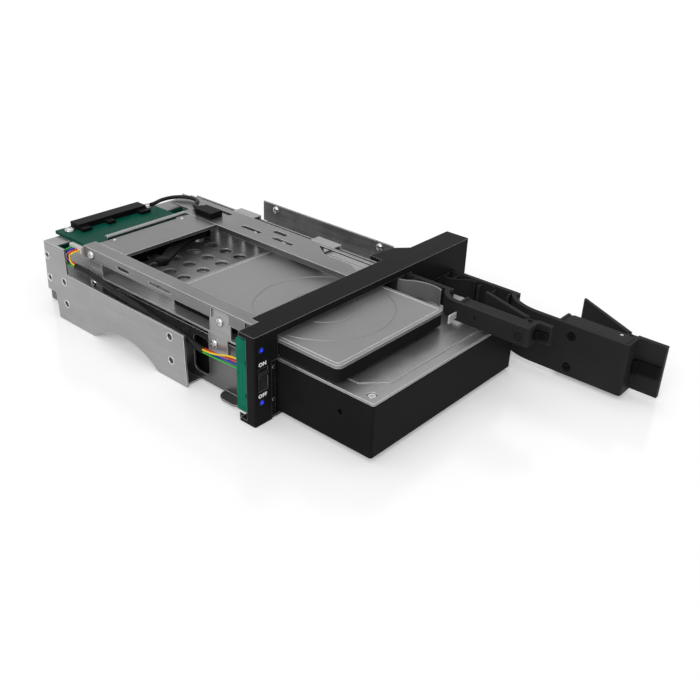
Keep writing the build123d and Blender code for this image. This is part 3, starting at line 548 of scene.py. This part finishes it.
def lathe(profile, place, normal, sides=28):
    """Closed turned shape from (radius, height) points, standing on place along the normal."""
    turn = turned(normal)
    origin = Vector(place)
    verts, faces, rings = [], [], []
    for radius, height in profile:
        if radius == 0:
            rings.append([len(verts)])
            verts.append(origin + turn @ Vector((0, 0, height)))
            continue
        rings.append(list(range(len(verts), len(verts) + sides)))
        for i in range(sides):
            angle = 2 * pi * i / sides
            verts.append(origin + turn @ Vector((radius * cos(angle), radius * sin(angle), height)))
    pairs = list(zip(rings, rings[1:]))
    if len(rings[0]) > 1:
        pairs.append((rings[-1], rings[0]))
    for first, second in pairs:
        for i in range(sides):
            j = (i + 1) % sides
            face = [first[i % len(first)], first[j % len(first)],
                    second[j % len(second)], second[i % len(second)]]
            unique = list(dict.fromkeys(face))
            if len(unique) > 2:
                faces.append(unique)
    return verts, faces


def block(x, y, z, chamfer=0.0, turn=None, origin=(0, 0, 0)):
    """Box between ranges with its upper edges chamfered; turn and origin place it elsewhere."""
    levels = [(z[0], 0.0), (z[1], chamfer)]
    if chamfer:
        levels.insert(1, (z[1] - chamfer, 0.0))
    verts = []
    for height, inset in levels:
        for px, py in ((x[0] + inset, y[0] + inset), (x[1] - inset, y[0] + inset),
                       (x[1] - inset, y[1] - inset), (x[0] + inset, y[1] - inset)):
            point = Vector((px, py, height))
            verts.append(Vector(origin) + (point if turn is None else turn @ point))
    faces = [(3, 2, 1, 0)]
    for level in range(len(levels) - 1):
        a = 4 * level
        faces += [(a + i, a + (i + 1) % 4, a + 4 + (i + 1) % 4, a + 4 + i) for i in range(4)]
    top = 4 * (len(levels) - 1)
    faces.append((top, top + 1, top + 2, top + 3))
    return verts, faces


def prism(outline, z):
    """Upright prism over a counter-clockwise outline."""
    count = len(outline)
    verts = [(px, py, height) for height in z for px, py in outline]
    faces = [list(range(count))[::-1], list(range(count, 2 * count))]
    faces += [(i, (i + 1) % count, count + (i + 1) % count, count + i) for i in range(count)]
    return verts, faces


def rounded(x, y, radius, steps=6):
    """Counter-clockwise rounded rectangle, from the low x and low y corner on."""
    middles = ((x[0] + radius, y[0] + radius, pi), (x[1] - radius, y[0] + radius, 1.5 * pi),
               (x[1] - radius, y[1] - radius, 0.0), (x[0] + radius, y[1] - radius, 0.5 * pi))
    points = []
    for cx, cy, start in middles:
        for i in range(steps + 1):
            angle = start + 0.5 * pi * i / steps
            points.append((cx + radius * cos(angle), cy + radius * sin(angle)))
    return points


def smooth(obj, width=0.0, angle=35):
    """Smooth shading with kept edges, and a small rounding of the outer edges as a modifier."""
    for polygon in obj.data.polygons:
        polygon.use_smooth = True
    obj.data.set_sharp_from_angle(angle=radians(angle))
    if width:
        modifier = obj.modifiers.new("edge", "BEVEL")
        modifier.width = width * MM
        modifier.segments = 2
        modifier.limit_method = "ANGLE"
        modifier.angle_limit = radians(40)


def carve(obj, cutter):
    """Cut one object's mesh with another, which is used up."""
    for piece in (obj, cutter):
        scene.collection.objects.link(piece)
    modifier = obj.modifiers.new("cut", "BOOLEAN")
    modifier.object = cutter
    modifier.operation = "DIFFERENCE"
    modifier.solver = "EXACT"
    modifier.use_self = True
    graph = bpy.context.evaluated_depsgraph_get()
    carved = bpy.data.meshes.new_from_object(obj.evaluated_get(graph))
    obj.modifiers.clear()
    obj.data = carved
    bpy.data.objects.remove(cutter)
    scene.collection.objects.unlink(obj)


def pan_heads(name, places, normal, radius, height):
    """Domed screw heads with a cross recess, cut into the mesh."""
    dome = [(0, height), (radius * 0.35, height * 0.97), (radius * 0.7, height * 0.82),
            (radius * 0.93, height * 0.5), (radius, height * 0.22), (radius, 0), (0, 0)]
    head = from_shapes(name, [lathe(dome, place, normal) for place in places])
    turn = turned(normal)
    arm, half = radius * 0.5, radius * 0.11
    recess = (height * 0.45, height * 1.5)
    bars = (((-arm, arm), (-half, half)), ((-half, half), (-arm, arm)))
    carve(head, from_shapes(name + "_cut", [block(x, y, recess, 0.0, turn, place)
                                            for place in places for x, y in bars]))
    smooth(head)
    return link(head, BRIGHT, "cage")


def rims(name, places, normal):
    """Rolled rims of tapped holes, standing a little proud and reaching into the sheet."""
    inner, outer, proud, deep = 1.55, 2.2, 0.22, 0.9
    ring = [(inner, proud * 0.5), (inner + 0.1, proud), (outer - 0.15, proud), (outer, 0.0),
            (outer - 0.2, -0.05), (inner + 0.02, -deep), (inner - 0.12, -deep)]
    obj = from_shapes(name, [lathe(ring, place, normal) for place in places])
    smooth(obj)
    link(obj, BRIGHT, "cage")


def fasteners():
    """Screw heads, rivets and the rims of the tapped holes."""
    heads = islands("tab_screws")
    low, high = heads[0]
    obj = pan_heads("tab_screw_heads", [(h[0], (l[1] + h[1]) / 2, (l[2] + h[2]) / 2) for l, h in heads],
                    (-1, 0, 0), (high[1] - low[1]) / 2, 1.3)
    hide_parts("tab_screws")
    board_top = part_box("rear_board")[1][2] / MM
    tops = [((l[0] + h[0]) / 2, (l[1] + h[1]) / 2, board_top + 0.02)
            for l, h in islands("rear_board_screws") if h[2] > board_top + 0.5]
    pan_heads("board_screw_heads", tops, (0, 0, 1), 2.5, 1.5)
    plate_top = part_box("top_cross_plate")[1][2] / MM
    pan_heads("cross_plate_rivets", [(x, 119.2, plate_top) for x in (-52.0, -10.5)], (0, 0, 1), 1.0, 0.45)
    pan_heads("right_plate_screws", [(RIGHT_PLATE_INSIDE_X, y, 21.6) for y in SIDE_SCREW_Y],
              (-1, 0, 0), 2.3, 1.6)
    pattern = [(y, z) for y in SIDE_SCREW_Y for z in SIDE_HOLE_Z]
    rims("left_plate_rims", [(-SIDE_PLATE_X, y, z) for y, z in (*pattern, *REAR_LEFT_HOLES)], (-1, 0, 0))
    rims("right_plate_rims", [(SIDE_PLATE_X, y, z) for y, z in pattern], (1, 0, 0))


def board_parts():
    """Solder joints and small parts on the rear face of the lower back board."""
    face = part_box("lower_back_board")[1][1] / MM
    joint = [(0, 0.0), (0, 0.36), (0.2, 0.32), (0.42, 0.1), (0.55, 0.0)]
    socket_pins = [(-33.0 + 1.27 * i, 5.2 + 2.2 * (i % 2)) for i in range(37)]
    power_pins = [(start + 2.5 * i, 20.5) for start, count in ((-48.0, 4), (30.0, 3)) for i in range(count)]
    joints = from_shapes("back_board_joints", [lathe(joint, (x, face - 0.01, z), (0, 1, 0), 10)
                                               for x, z in socket_pins + power_pins])
    smooth(joints, angle=60)
    link(joints, BRIGHT, "cage")
    chips = (  # x, z, width, height
        (-22.0, 15.5, 7.0, 5.0), (2.0, 16.0, 4.0, 4.0), (20.0, 12.5, 3.0, 2.0),
        (-40.0, 13.0, 3.0, 2.0), (-6.0, 13.0, 1.6, 0.8), (10.0, 19.0, 1.6, 0.8),
        (14.0, 13.0, 1.6, 0.8), (-32.0, 19.5, 1.6, 0.8),
    )
    turn = turned((0, 1, 0))
    obj = from_shapes("back_board_chips", [
        block((-w / 2, w / 2), (-h / 2, h / 2), (0.0, 0.38), 0.1, turn, (x, face, z))
        for x, z, w, h in chips])
    link(obj, DARK, "cage")


def door_details():
    """Lid, pin and ribs on the lower door, the upper box's sheet hook and the ejector's boss."""
    lid = from_shapes("lower_box_lid", [
        prism(rounded((54.25, 62.7), (-98.0, -67.0), 1.6), (27.0, 27.42)),
        block((54.4, 62.5), (-83.6, -82.6), (27.3, 27.62), 0.15),
    ])
    smooth(lid, 0.12)
    link(lid, LID_BLACK, "lower_door")
    pin_profile = [(0, 27.52), (0.55, 27.52), (0.75, 27.45), (0.75, 27.2), (0, 27.2)]
    pin = from_shapes("lower_box_pin", [lathe(pin_profile, (60.2, -92.6, 0.0), (0, 0, 1), 20)])
    smooth(pin)
    link(pin, WHITE, "lower_door")
    ribs = from_shapes("lower_door_ribs", [block((59.4, 63.2), (y - 0.45, y + 0.45), (3.4, 26.4), 0.2)
                                           for y in (-17.5, -25.8, -34.0)])
    smooth(ribs, 0.15)
    link(ribs, LID_BLACK, "lower_door")
    hook = from_shapes("hook_sheet", [
        block((10.6, 16.3), (-34.2, -33.4), (30.5, 33.6), 0.15),
        block((10.6, 12.8), (-34.2, -33.4), (29.6, 30.6)),
    ])
    smooth(hook, 0.12)
    link(hook, HOOK, "upper_door")
    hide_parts("upper_door_hook")
    boss_profile = [(0, 1.3), (2.6, 1.3), (3.2, 1.0), (3.4, 0.5), (3.4, 0.0), (0, 0.0)]
    boss = from_shapes("ejector_boss", [lathe(boss_profile, (-46.6, 90.4, 38.58), (0, 0, 1))])
    smooth(boss)
    link(boss, DARK, "cage")


word("word_on", "ON", -69.7, 28.7)
word("word_off", "OFF", -69.8, 14.0)
fasteners()
door_details()
board_parts()

make_camera()
make_world()
make_lamps()
make_floor()
dress_nodes()

scene.view_settings.view_transform = "Standard"
